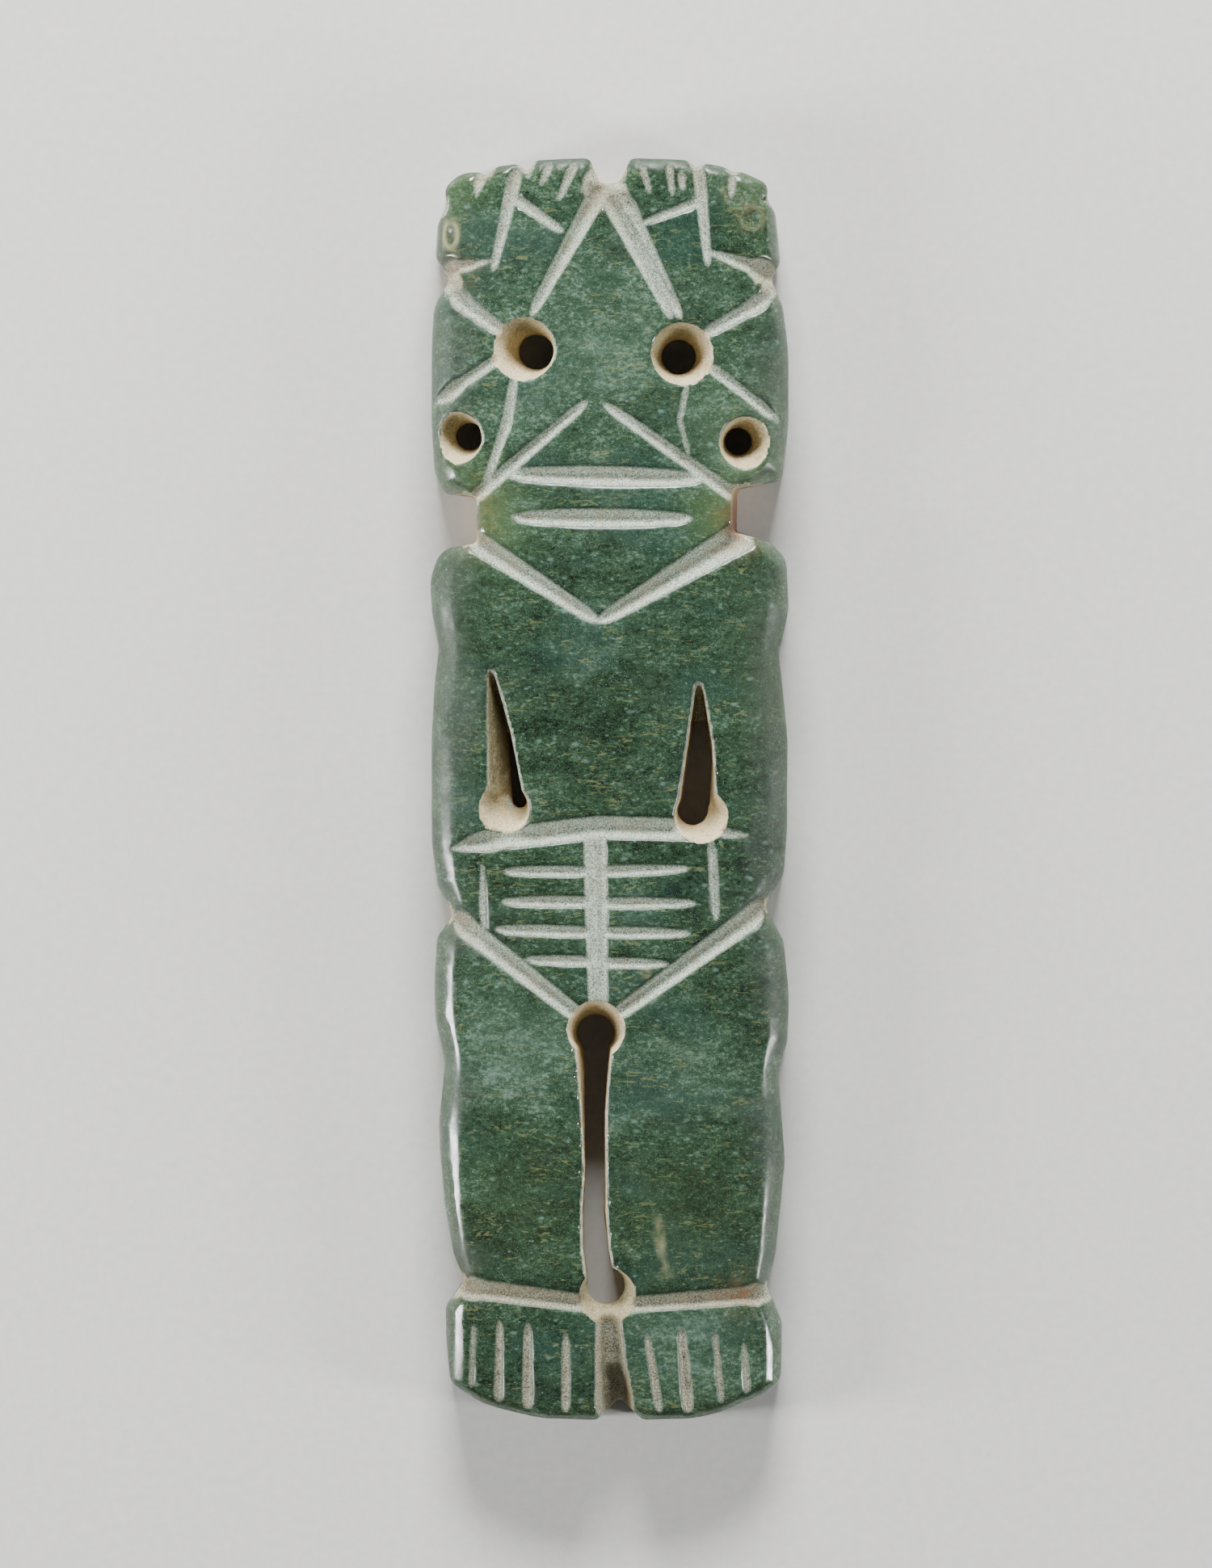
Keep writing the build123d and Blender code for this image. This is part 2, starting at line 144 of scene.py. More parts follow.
def relaxed(points, edges, weight, rounds):
    """Points smoothed without shrinking, each by its own weight."""
    count = np.bincount(edges.ravel(), minlength=len(points)).astype(float)
    first, second = edges[:, 0], edges[:, 1]
    moved = points.copy()
    for factor in (PULL, PUSH) * rounds:
        for axis in range(3):
            values = moved[:, axis]
            around = np.bincount(first, values[second], len(points))
            around += np.bincount(second, values[first], len(points))
            moved[:, axis] = values + factor * weight * (around / count - values)
    return moved


# Maps on a grid over the stone


def disc(reach):
    """The offsets, in cells, within a reach."""
    cells = int(math.ceil(reach / CELL))
    offsets = range(-cells, cells + 1)
    return [(i, j) for i in offsets for j in offsets if (i * i + j * j) * CELL * CELL <= reach * reach]


def shifted(grid, i, j, outside):
    """The map moved by whole cells, with a value for what comes in from outside."""
    border = max(abs(i), abs(j), 1)
    padded = np.pad(grid, border, constant_values=outside)
    rows, columns = grid.shape
    return padded[border + i:border + i + rows, border + j:border + j + columns]


def highest(grid, reach):
    """The highest value within the reach of each cell."""
    made = grid.copy()
    for i, j in disc(reach):
        made = np.maximum(made, shifted(grid, i, j, EMPTY))
    return made


def lowest(grid, reach):
    """The lowest value within the reach of each cell."""
    made = grid.copy()
    for i, j in disc(reach):
        made = np.minimum(made, shifted(grid, i, j, SKY))
    return made


def closed(grid, reach):
    """The map with every dip narrower than twice the reach filled."""
    return lowest(highest(grid, reach), reach)


def softened(grid, rounds):
    """The map with each cell made half itself and half its four neighbours, some times over."""
    for _ in range(rounds):
        around = sum(shifted(grid, i, j, 0.0) for i, j in ((1, 0), (-1, 0), (0, 1), (0, -1)))
        grid = 0.5 * grid + 0.125 * around
    return grid


def open_air(top):
    """The cells outside the stone that the grid's border reaches."""
    empty = top < 0
    outer = np.zeros_like(empty)
    outer[0, :] = outer[-1, :] = outer[:, 0] = outer[:, -1] = True
    count = 0
    while outer.sum() != count:
        count = outer.sum()
        for axis in (0, 1):
            for flip in (False, True):
                cells = np.flip(outer, axis) if flip else outer
                free = np.flip(empty, axis) if flip else empty
                cells = np.moveaxis(cells, axis, 0)
                free = np.moveaxis(free, axis, 0)
                for line in range(1, len(cells)):
                    cells[line] |= cells[line - 1] & free[line]
    return outer


class Maps:
    """Over the stone, in cells: its height, the depth of its grooves and the distance from its outline."""

    def __init__(self, mesh):
        tree = BVHTree.FromPolygons([v.co for v in mesh.vertices], [p.vertices for p in mesh.polygons])
        points = points_of(mesh)
        margin = HOLE_REACH + 1
        self.low = points[:, :2].min(0) - margin
        size = np.ceil((points[:, :2].max(0) + margin - self.low) / CELL).astype(int) + 1
        self.top = np.full(size, EMPTY)
        down, above = Vector((0, 0, -1)), points[:, 2].max() + 1
        for i in range(size[0]):
            for j in range(size[1]):
                spot = Vector((self.low[0] + i * CELL, self.low[1] + j * CELL, above))
                hit = tree.ray_cast(spot, down)[0]
                if hit is not None:
                    self.top[i, j] = hit.z
        outer = open_air(self.top) * 1.0
        away = np.full(size, RIM_SIDE)
        for i, j in disc(RIM_SIDE):
            reached = shifted(outer, i, j, 1.0) > 0
            away = np.where(reached, np.minimum(away, math.hypot(i, j) * CELL), away)
        self.away = softened(np.maximum(away - CELL / 2, 0), 3)
        lines = [low + np.arange(count) * CELL for low, count in zip(self.low, size)]
        across, up = np.meshgrid(*lines, indexing="ij")
        rim = rim_height(across, up, self.away)
        self.top = np.where(self.top < 0, self.top, np.minimum(self.top, rim))
        self.dip = softened(closed(self.top, GROOVE_REACH) - self.top, 1)
        self.large = closed(self.top, HOLE_REACH)
        self.within = softened((lowest((self.large > 0) * 1.0, INSET) > 0) * 1.0, 2)

    def at(self, grid, points):
        """The map's value at each point, between its cells."""
        spot = (points[:, :2] - self.low) / CELL
        whole = np.floor(spot).astype(int)
        part = spot - whole
        value = 0
        for i in (0, 1):
            for j in (0, 1):
                share = np.abs(1 - i - part[:, 0]) * np.abs(1 - j - part[:, 1])
                value = value + share * grid[whole[:, 0] + i, whole[:, 1] + j]
        return value


# Mouths of the round holes on the front: pixel, radius in pixels
MOUTHS = [
    (647.2, 432.6, 40.0),
    (844.9, 438.6, 39.0),
    (564.1, 542.6, 32.5),
    (923.0, 548.7, 32.5),
    (622.0, 1001.8, 33.5),
    (868.0, 1010.7, 33.5),
    (737.9, 1274.3, 36.0),
    (751.9, 1605.0, 35.5),
]

# Sunk places that were polished with the front: pixel, reach across and up in pixels
POLISHED = [
    (557, 291, 16, 20),
    (930, 270, 19, 19),
]

# Sunk places with steep sides that stayed matt: the same columns
GROUND = [
    (745, 232, 24, 24),
    (748, 1700, 26, 60),
]

# Notches that the grooves run out into: the same columns
NOTCHES = [
    (560, 352, 12, 15),
    (953, 356, 10, 14),
    (768, 240, 9, 12),
    (562, 1594, 12, 14),
    (948, 1602, 10, 11),
]

# Where a mask begins and where it is full. Deep, sunk, inside and mouth are in millimetres, and
# facing is 1 for a surface that looks straight up.
GROOVE_DEEP = (0.0, 0.45)
GROOVE_FACING = (0.1, 0.35)
GROOVE_INSIDE = (0.0, 0.25)
WALL_FACING = (0.42, 0.62)
WALL_SUNK = (0.15, 0.5)
MOUTH_EDGE = (-0.15, 0.15)
MOUTH_SUNK = (0.02, 0.12)
MOUTH_LEAST_FACING = -0.5
GROUND_SUNK = (0.05, 0.2)
NOTCH_LEAST_FACING = 0.1
OVAL_EDGE = (0.85, 1.15)  # in shares of its reach
DEEPEST = 4.0


def spot(points, row):
    """1 inside an oval on the front, 0 outside it."""
    x, y = place(row[0], row[1])
    away = np.hypot((points[:, 0] - x) / length(row[2]), (points[:, 1] - y) / length(row[3]))
    return 1 - smoothstep(*OVAL_EDGE, away)


def carved(maps, points, normals):
    """How far each point is in a groove, on a wall, deep in a groove and sunk in a hole."""
    upward = normals[:, 2]
    inside = smoothstep(*GROOVE_INSIDE, maps.at(maps.away, points))
    deep = maps.at(maps.dip, points)
    sunk = maps.at(maps.large, points) - points[:, 2]
    groove = smoothstep(*GROOVE_DEEP, deep) * smoothstep(*GROOVE_FACING, upward) * inside
    steep = 1 - smoothstep(*WALL_FACING, np.abs(upward))
    wall = steep * maps.at(maps.within, points) * smoothstep(*WALL_SUNK, sunk)
    for px, py, radius in MOUTHS:
        x, y = place(px, py)
        away = np.hypot(points[:, 0] - x, points[:, 1] - y) - length(radius)
        mouth = (1 - smoothstep(*MOUTH_EDGE, away)) * smoothstep(*MOUTH_SUNK, sunk)
        facing = (x - points[:, 0]) * normals[:, 0] + (y - points[:, 1]) * normals[:, 1]
        mouth = mouth * (upward > MOUTH_LEAST_FACING) * (facing > MOUTH_LEAST_FACING)
        wall = np.maximum(wall, mouth)
    for row in GROUND:
        ground = spot(points, row) * (upward > 0)
        groove = np.maximum(groove, ground * np.maximum(wall, smoothstep(*GROUND_SUNK, sunk)))
        wall = wall * (1 - ground)
    for row in NOTCHES:
        ground = spot(points, row) * (upward > NOTCH_LEAST_FACING)
        groove = np.maximum(groove, ground)
        wall = wall * (1 - ground)
    for row in POLISHED:
        groove = groove * (1 - spot(points, row))
    return groove, wall, np.clip(deep, 0, DEEPEST) * (upward > 0), np.clip(sunk / WAIST_DEEP, 0, 1)


def rim_height(across, up, away):
    """How high the front may stand, with its rim rounded along the real outline."""
    ring = DOME_ACROSS - DOME_ALONG
    along = np.sqrt(DOME_ALONG ** 2 - (up - DOME_CREST) ** 2)
    dome = DOME_TOP - DOME_ACROSS + np.sqrt((ring + along) ** 2 - across ** 2)
    side = smoothstep(*SIDE_BAND, np.abs(across))
    ends = smoothstep(*END_BAND, np.abs(up))
    rim = RIM_NOTCH + (RIM_SIDE - RIM_NOTCH) * side
    rim = rim + (RIM_END - rim) * ends
    near = rim - np.clip(away, 0, rim)
    return dome - rim + np.sqrt(rim ** 2 - near ** 2)


def rounded_rim(maps, points):
    """The points, none of them above the rounded rim."""
    made = points.copy()
    rim = rim_height(points[:, 0], points[:, 1], maps.at(maps.away, points))
    made[:, 2] = np.minimum(points[:, 2], rim)
    return made


# Waves of the worked surface: height in millimetres, waves to a millimetre, seed
SWELLS = [
    (0.05, 0.09, 1),
    (0.02, 0.35, 2),
]
SAW_WAVE = (0.05, 1.1, 3)
SEED_STEP = (7.31, 3.17, 5.77)
OCTAVES = 2


def waves(points, scale, seed):
    """Smooth noise from -1 to 1 at each point."""
    shift = Vector([seed * step for step in SEED_STEP])
    return np.array([noise.fractal(Vector(p) * scale + shift, 1.0, 2.0, OCTAVES) for p in points])


# Chipped edges of the slots and the crown: pixel, reach in pixels, depth in millimetres
CHIPS = [
    (711, 1302, 5, 0.30),
    (715, 1334, 6, 0.40),
    (719, 1361, 5, 0.35),
    (721, 1392, 7, 0.50),
    (722, 1419, 5, 0.40),
    (723, 1452, 8, 0.50),
    (722, 1486, 5, 0.30),
    (721, 1520, 6, 0.35),
    (749, 1352, 4, 0.25),
    (748, 1405, 5, 0.30),
    (748, 1447, 4, 0.30),
    (750, 1488, 6, 0.35),
    (753, 1527, 4, 0.25),
    (762, 1566, 5, 0.30),
    (944, 247, 5, 0.35),
    (630, 960, 5, 0.25),
    (884, 915, 4, 0.30),
    (856, 930, 4, 0.30),
    (884, 958, 5, 0.30),
]
CHIP_DRAWN_OUT = 0.7  # up and down against across
CHIP_EDGE = (0.3, 1.0)  # in shares of its reach
CHIP_BELOW = 2.5  # millimetres below the front where a chip ends


def stone_mesh():
    """The carved solid as a hand-worked stone, in millimetres."""
    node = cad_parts["jade_figure"]
    mesh = node.data.copy()
    mesh.transform(Matrix.Scale(1 / MM, 4) @ node.matrix_world)
    maps = Maps(mesh)
    mesh = with_modifier(mesh, "REMESH", mode="VOXEL", voxel_size=ROUGH_VOXEL, adaptivity=0.0)
    set_points(mesh, rounded_rim(maps, points_of(mesh)))
    mesh = with_modifier(mesh, "REMESH", mode="VOXEL", voxel_size=VOXEL, adaptivity=0.0)
    points, edges = points_of(mesh), edges_of(mesh)
    points = relaxed(points, edges, 1.0, FIRST_ROUNDS)
    set_points(mesh, points)
    groove, wall, _, _ = carved(maps, points, normals_of(mesh))
    crisp = smoothstep(0.0, 0.3, wall)
    points = relaxed(points, edges, 1.0 - WALL_KEPT * crisp, LAST_ROUNDS)
    set_points(mesh, points)

    normals = normals_of(mesh)
    swell = sum(high * waves(points, scale, seed) for high, scale, seed in SWELLS)
    high, scale, seed = SAW_WAVE
    sawn = np.maximum(groove, wall) * high * waves(points, scale, seed)
    points = points + normals * (swell + sawn)[:, None]
    for px, py, reach, deep in CHIPS:
        x, y = place(px, py)
        away = np.hypot(points[:, 0] - x, (points[:, 1] - y) * CHIP_DRAWN_OUT) / length(reach)
        front = smoothstep(CHIP_BELOW, 0.0, maps.at(maps.large, points) - points[:, 2])
        points[:, 2] -= deep * (1 - smoothstep(*CHIP_EDGE, away)) * front
    set_points(mesh, points)

    triangles = sum(len(face.vertices) - 2 for face in mesh.polygons)
    if triangles > MOST_TRIANGLES:
        mesh = with_modifier(mesh, "DECIMATE", ratio=MOST_TRIANGLES / triangles)
    return mesh, maps


# Softly paler and darker regions of the stone, the paler ones partly painted sheen of the top light: pixel,
# reach across and up in pixels, amount
TONES_AND_SHEEN = [
    (735, 430, 130, 110, 0.55),
    (745, 440, 60, 40, 0.22),
    (640, 540, 70, 90, 0.30),
    (900, 560, 80, 110, 0.45),
    (745, 560, 130, 50, -0.05),
    (640, 640, 60, 30, 0.35),
    (740, 700, 90, 45, -0.27),
    (590, 730, 60, 60, 0.25),
    (930, 770, 60, 60, 0.20),
    (740, 860, 140, 90, -0.30),
    (575, 960, 50, 120, 0.10),
    (640, 1110, 70, 60, -0.30),
    (840, 1130, 60, 60, -0.25),
    (630, 1290, 90, 75, 0.85),
    (640, 1450, 80, 80, -0.10),
    (860, 1335, 100, 80, 0.55),
    (860, 1470, 110, 50, -0.50),
    (620, 1560, 80, 70, -0.35),
    (860, 1560, 90, 50, -0.25),
    (640, 1700, 110, 60, -0.15),
    (865, 1634, 80, 20, 0.60),
    (860, 1690, 110, 60, 0.62),
    (760, 250, 200, 50, 0.05),
]

# Yellower stone: pixel, reach across and up in pixels, amount
WARM = [
    (612, 645, 34, 50, 0.90),
    (888, 640, 38, 44, 0.80),
    (560, 590, 40, 40, 0.50),
    (940, 590, 40, 34, 0.60),
    (560, 240, 36, 34, 0.45),
    (935, 235, 36, 34, 0.35),
    (900, 520, 60, 60, 0.25),
    (560, 800, 40, 90, 0.20),
    (940, 830, 40, 90, 0.25),
    (640, 1480, 90, 90, 0.20),
    (850, 1500, 90, 90, 0.20),
]

# Stains in the notches and grooves: pixel, reach in pixels, strength
STAINS = [
    (562, 335, 26, 0.75),
    (958, 345, 20, 0.60),
    (592, 625, 26, 0.80),
    (592, 668, 22, 0.90),
    (909, 640, 24, 1.00),
    (925, 672, 22, 0.70),
    (926, 264, 12, 0.80),
    (556, 291, 9, 0.60),
    (567, 1143, 16, 0.50),
    (948, 1122, 14, 0.50),
    (916, 1602, 26, 0.90),
    (570, 1588, 22, 0.60),
    (768, 1725, 16, 0.40),
    (736, 240, 18, 0.35),
    (593, 215, 12, 0.50),
    (700, 305, 8, 0.40),
]

# Grooves that are duller and browner than the rest, and holes' and slots' walls, mostly the upper ones,
# darkened as painted shade: pixel, reach across and up in pixels, amount
DULL_AND_SHADE = [
    (640, 1700, 130, 80, 1.00),
    (870, 1700, 130, 80, 1.00),
    (640, 1604, 110, 30, 0.90),
    (880, 1606, 110, 30, 0.70),
    (560, 528, 28, 24, 0.90),
    (922, 546, 34, 32, 0.45),
    (645, 402, 34, 16, 0.95),
    (840, 410, 32, 14, 0.80),
    (812, 442, 10, 26, 0.70),
    (612, 960, 24, 60, 0.50),
    (868, 868, 18, 30, 0.70),
    (748, 1705, 28, 48, 0.60),
    (752, 243, 44, 34, 0.70),
    (640, 215, 110, 26, 0.70),
    (860, 215, 110, 26, 0.70),
    (570, 345, 40, 30, 0.60),
    (950, 345, 40, 30, 0.60),
    (560, 1130, 34, 30, 0.50),
    (946, 1120, 34, 30, 0.50),
    (604, 870, 22, 70, 0.95),
    (608, 950, 20, 50, 0.50),
    (868, 860, 20, 50, 0.15),
]

# Where a groove fades into the stone: pixel, reach across and up in pixels, amount
FAINT = [
    (572, 1040, 36, 20, 0.35),
    (905, 1037, 34, 14, 0.50),
    (789, 247, 5, 12, 0.80),
    (883, 1100, 16, 60, 0.30),
    (845, 525, 14, 60, 0.45),
    (612, 1190, 20, 10, 0.20),
    (828, 226, 26, 30, 0.25),
]

# Ridges left between grooves that run side by side: from pixel to pixel, line width in pixels,
# amount
RIDGES = [
    (776, 266, 831, 366, 2.8, 0.70),
    (741, 1040, 744, 1240, 2.2, 0.25),
]

# Brown stone in the neck's right wall: pixel, reach across and up in pixels, amount
BROWN = [
    (908, 640, 9, 26, 1.00),
    (905, 655, 9, 14, 0.60),
]

# Rims that are worn matt, so that the shine along the sides is broken, their colour darkened there as
# painted shade: pixel, reach across and up in pixels, amount
MATT_SHADED_RIMS = [
    (755, 198, 300, 14, 1.00),
    (560, 880, 30, 130, 1.00),
    (562, 1160, 26, 22, 0.80),
    (566, 1350, 30, 34, 0.90),
    (566, 1565, 30, 34, 0.90),
    (560, 480, 30, 90, 0.80),
    (555, 700, 30, 50, 0.50),
    (950, 850, 30, 130, 1.00),
    (950, 1050, 30, 80, 0.90),
    (955, 1220, 30, 60, 0.90),
    (952, 1410, 30, 70, 1.00),
    (950, 480, 30, 90, 0.80),
]

# Drilled rings: pixel, reach across and up in pixels, line width in pixels, amount
RINGS = [
    (557.5, 290.5, 8.5, 16.0, 3.2, 0.75),
    (930.0, 270.0, 14.0, 14.0, 3.0, 0.20),
    (800.0, 1204.0, 5.0, 5.0, 1.8, 0.45),
]

# Pale veins and scratches: from pixel to pixel, line width in pixels, amount
VEINS = [
    (814, 1505, 819, 1545, 2.4, 0.42),
    (819, 1545, 826, 1576, 2.6, 0.38),
    (893, 233, 910, 270, 2.0, 0.30),
]
TINY = 0.01  # keeps a ring's middle from a division by nothing
EDGE_REACH = 3.0  # millimetres from the outline where a yellower glow of light through the thin stone is painted
DEEP_FULL = 2.0  # millimetres of depth for a value of 1


def soft_lines(points, rows):
    """The sum of soft lines on the front."""
    total = np.zeros(len(points))
    for px, py, end_px, end_py, line, amount in rows:
        start, end = np.array(place(px, py)), np.array(place(end_px, end_py))
        run = end - start
        along = np.clip((points[:, :2] - start) @ run / (run @ run), 0, 1)
        away = np.linalg.norm(points[:, :2] - start - along[:, None] * run, axis=1)
        total += amount * np.exp(-(away / length(line)) ** 2)
    return total


def drawn(points):
    """How strongly each point lies on a ring or a vein."""
    total = np.zeros(len(points))
    for px, py, across, up, line, amount in RINGS:
        x, y = place(px, py)
        reach = np.hypot((points[:, 0] - x) / length(across), (points[:, 1] - y) / length(up)) + TINY
        away = np.hypot(points[:, 0] - x, points[:, 1] - y) * (1 - 1 / reach)
        total += amount * np.exp(-(away / length(line)) ** 2)
    return (total + soft_lines(points, VEINS)) * (points[:, 2] > DOME_TOP / 2)


def soft_spots(points, rows):
    """The sum of soft spots on the front. A row has one reach, or one across and one up."""
    total = np.zeros(len(points))
    for row in rows:
        px, py, amount = row[0], row[1], row[-1]
        reach_across, reach_up = (row[2], row[3]) if len(row) == 5 else (row[2], row[2])
        x, y = place(px, py)
        away = np.hypot((points[:, 0] - x) / length(reach_across), (points[:, 1] - y) / length(reach_up))
        total += amount * np.exp(-away ** 2)
    return total


def add_masks(mesh, maps):
    """The carved and the stained places, and the painted sheen and shade, as attributes that the stone's
    material reads.
    """
    points, normals = points_of(mesh), normals_of(mesh)
    groove, wall, deep, sunk = carved(maps, points, normals)
    tone_and_sheen = soft_spots(points, TONES_AND_SHEEN)
    warm = np.clip(soft_spots(points, WARM), 0, 1)
    stain = soft_spots(points, STAINS)
    edge = 1 - smoothstep(0.0, EDGE_REACH, maps.at(maps.away, points))
    dull_and_shade = np.clip(soft_spots(points, DULL_AND_SHADE), 0, 1)
    faint = soft_spots(points, FAINT) + soft_lines(points, RIDGES)
    groove = groove * (1 - np.clip(faint, 0, 1))
    brown = np.clip(soft_spots(points, BROWN), 0, 1)
    matt_and_shade = np.clip(soft_spots(points, MATT_SHADED_RIMS), 0, 1)
    masks = {
        "groove": groove,
        "wall": wall,
        "deep": deep / DEEP_FULL,
        "tone_and_sheen": tone_and_sheen,
        "warm": warm,
        "stain": stain,
        "edge": edge,
        "dull_and_shade": dull_and_shade,
        "matt_and_shade": matt_and_shade,
        "brown": brown,
        "sunk": sunk,
        "drawn": drawn(points),
    }
    for name, values in masks.items():
        attribute = mesh.attributes.new(name, "FLOAT", "POINT")
        attribute.data.foreach_set("value", values.astype(np.float32))


# Materials


def colour(red, green, blue):
    """A colour as a screen shows it, 0 to 255, in linear light by the sRGB curve."""
    shares = [value / 255 for value in (red, green, blue)]
    linear = [s / 12.92 if s <= 0.04045 else ((s + 0.055) / 1.055) ** 2.4 for s in shares]
    return (*linear, 1.0)


# The green stone, from its darkest grain to its palest, with painted sheen, glints, thin-edge glow and rim
# shade
STONE_DARK = colour(14, 25, 14)
STONE_GREEN = colour(49, 74, 53)
STONE_PALE = colour(124, 150, 132)
# Painted sheen: the soft pale green that the paler regions take on
PAINTED_SHEEN = colour(92, 118, 103)
DARK_TONE = colour(18, 32, 18)
BLUE_GREEN = colour(40, 70, 62)
OLIVE = colour(130, 136, 88)
CRYSTAL = colour(128, 162, 148)
# Painted glints of light
PAINTED_GLINT = colour(176, 200, 186)
# Painted glow of light through the thin edges
PAINTED_EDGE_GLOW = colour(80, 100, 56)
WARM_GREEN = colour(100, 124, 78)
# Painted shade on the matt rims
PAINTED_RIM_SHADE = colour(22, 38, 25)
SCRATCH = colour(170, 166, 128)

# The grooves' ground stone, each as its dark and its pale grains
GROUND_GRAINS = (colour(84, 102, 84), colour(214, 226, 207))
DULL_GRAINS = (colour(64, 68, 48), colour(184, 176, 148))
GROOVE_TAN = colour(172, 156, 126)

# The holes' walls with their painted shade, and the stains
TAN_GRAINS = (colour(188, 173, 132), colour(228, 214, 176))
# Painted shade on the holes' upper walls
PAINTED_SHADE_TAN_GRAINS = (colour(68, 68, 42), colour(124, 119, 82))
OCHRE = colour(166, 138, 88)
# Painted shade deeper in the holes
PAINTED_DEPTH_SHADE = colour(138, 108, 60)
BROWN_STONE = colour(96, 60, 40)
STAIN = colour(150, 112, 68)

PAPER_GRAINS = (colour(226, 225, 221), colour(232, 231, 228))

# How the patterns are drawn out: share of each direction, turn in radians
GRAIN_DRAW = (0.60, 1.0, 1.0, 0.06)
DRIFT_DRAW = (0.50, 1.0, 1.0, 0.05)
FINE_DRAW = (0.75, 1.0, 1.0, 0.10)
VEIN_DRAW = (0.25, 1.0, 1.0, 0.05)
TOOL_DRAW = (0.12, 1.0, 1.0, 0.00)

# Noise fields: waves to a millimetre (to a metre for the paper), detail, roughness, warp
FIELDS = {
    "clouds": (0.12, 3.0, 0.55, 0.4),
    "drifts": (0.30, 3.0, 0.55, 0.8),
    "mottle": (0.75, 4.0, 0.60, 0.8),
    "fine": (3.0, 4.0, 0.75, 0.4),
    "blue": (0.10, 2.0, 0.50, 0.0),
    "veins": (2.2, 4.0, 0.60, 1.2),
    "vein places": (0.28, 2.0, 0.50, 0.0),
    "painted_glints": (7.5, 2.0, 0.80, 0.0),
    "grit": (5.2, 4.0, 0.85, 0.0),
    "patches": (0.55, 3.0, 0.60, 0.0),
    "tan grit": (3.6, 3.0, 0.70, 0.0),
    "stains": (0.9, 4.0, 0.65, 0.0),
    "polish": (0.9, 4.0, 0.60, 0.0),
    "wear": (0.10, 3.0, 0.55, 0.0),
    "tool marks": (2.4, 2.0, 0.50, 0.0),
    "paper": (900.0, 3.0, 0.60, 0.0),
}
GRAIN_CELLS = 2.4  # to a millimetre
NET_CELLS = 1.7

# Steps: where a value begins to count, where it counts fully, and what it then gives if not 0 and 1
STEPS = {
    "net": (0.09, 0.0),
    "green": (0.94, 1.39),
    "pale": (1.30, 1.78),
    # Painted sheen where the regions are paler
    "painted_sheen": (0.0, 1.1, 0.0, 0.30),
    "painted sheen drifts": (0.30, 0.70, 0.6, 1.3),
    "dark tone": (0.0, -0.8, 0.0, 0.30),
    "blue": (0.50, 0.68, 0.0, 0.40),
    "veins": (0.57, 0.635),
    "vein places": (0.42, 0.58),
    "crystal places": (0.54, 0.66),
    "painted_glints": (0.63, 0.70),
    "pepper": (0.39, 0.61),
    "groove patches": (0.44, 0.66),
    "groove depth": (0.12, 0.45, 0.12, 0.42),
    "groove edge": (-0.15, 1.05),
    "groove ends": (0.0, 0.20),
    "matt groove": (0.0, 0.30),
    "tan grit": (0.36, 0.64),
    "ochre": (0.52, 0.70, 0.0, 0.55),
    "sunk": (0.15, 0.95, 0.0, 0.80),
    "wall edge": (0.30, 0.70),
    "stains": (0.34, 0.66),
    "polish": (0.30, 0.75, 0.12, 0.24),
    "wear": (0.48, 0.64, 0.0, 0.16),
    "pits": (0.60, 0.75),
    "paper": (0.30, 0.70),
}

# How much each pattern adds to the stone's lightness
TONE_SHARE = 0.17
CLOUD_SHARE = 0.45
DRIFT_SHARE = 0.42
MOTTLE_SHARE = 0.48
FINE_SHARE = 0.95
GRAIN_SHARE = 0.20
NET_SHARE = 0.09

# Crystals: how many to a millimetre, reach in their own cells, most of their colour
CRYSTALS = [
    (0.8, 0.20, 0.42),
    (1.8, 0.24, 0.40),
]
CRYSTAL_PLACES = 0.8  # waves of their places to a cell
CRYSTAL_EDGE = (1.6, 0.3)  # reaches where a crystal ends and where it is full
PLACE_NOISE = (1.0, 0.5, 0.0)  # detail, roughness, warp

# The most that each colour laid over the others may hide
VEIN_MOST = 0.44
PAINTED_GLINT_MOST = 0.50
EDGE_GLOW_MOST = 0.12
WARM_MOST = 0.45
RIM_SHADE_MOST = 0.40
DULL_GROOVE_MOST = 0.85
WALL_SHADE_MOST = 0.80
BROWN_MOST = 0.60
GROOVE_RAGGED = 0.9  # how far the grit moves a groove's edge
WALL_RAGGED = 0.5
STAIN_CARVED = 0.7  # a stain's strength in carved places beyond that on the polish
STAIN_POLISH = 0.3

# The shine
GROUND_ROUGH = 0.72
MATT_ROUGH = 0.50
STONE_IOR = 1.6
STONE_GLOW = 0.10
GLOW_COLOURS = (0.5, 1.0, 0.6)
GLOW_REACH = 0.8  # millimetres
PAPER_ROUGH = 0.9

# Bumps: strength, depth in millimetres
PIT_BUMP = (0.12, 0.05)
GRIT_BUMP = (0.50, 0.04)
TOOL_BUMP = (0.40, 0.10)
PAPER_BUMP = (0.15, 0.05)


# The colour sockets of a Mix node, and the middle of a noise field
MIX_FIRST, MIX_SECOND, MIX_RESULT = 6, 7, 2
NOISE_MIDDLE = 0.5


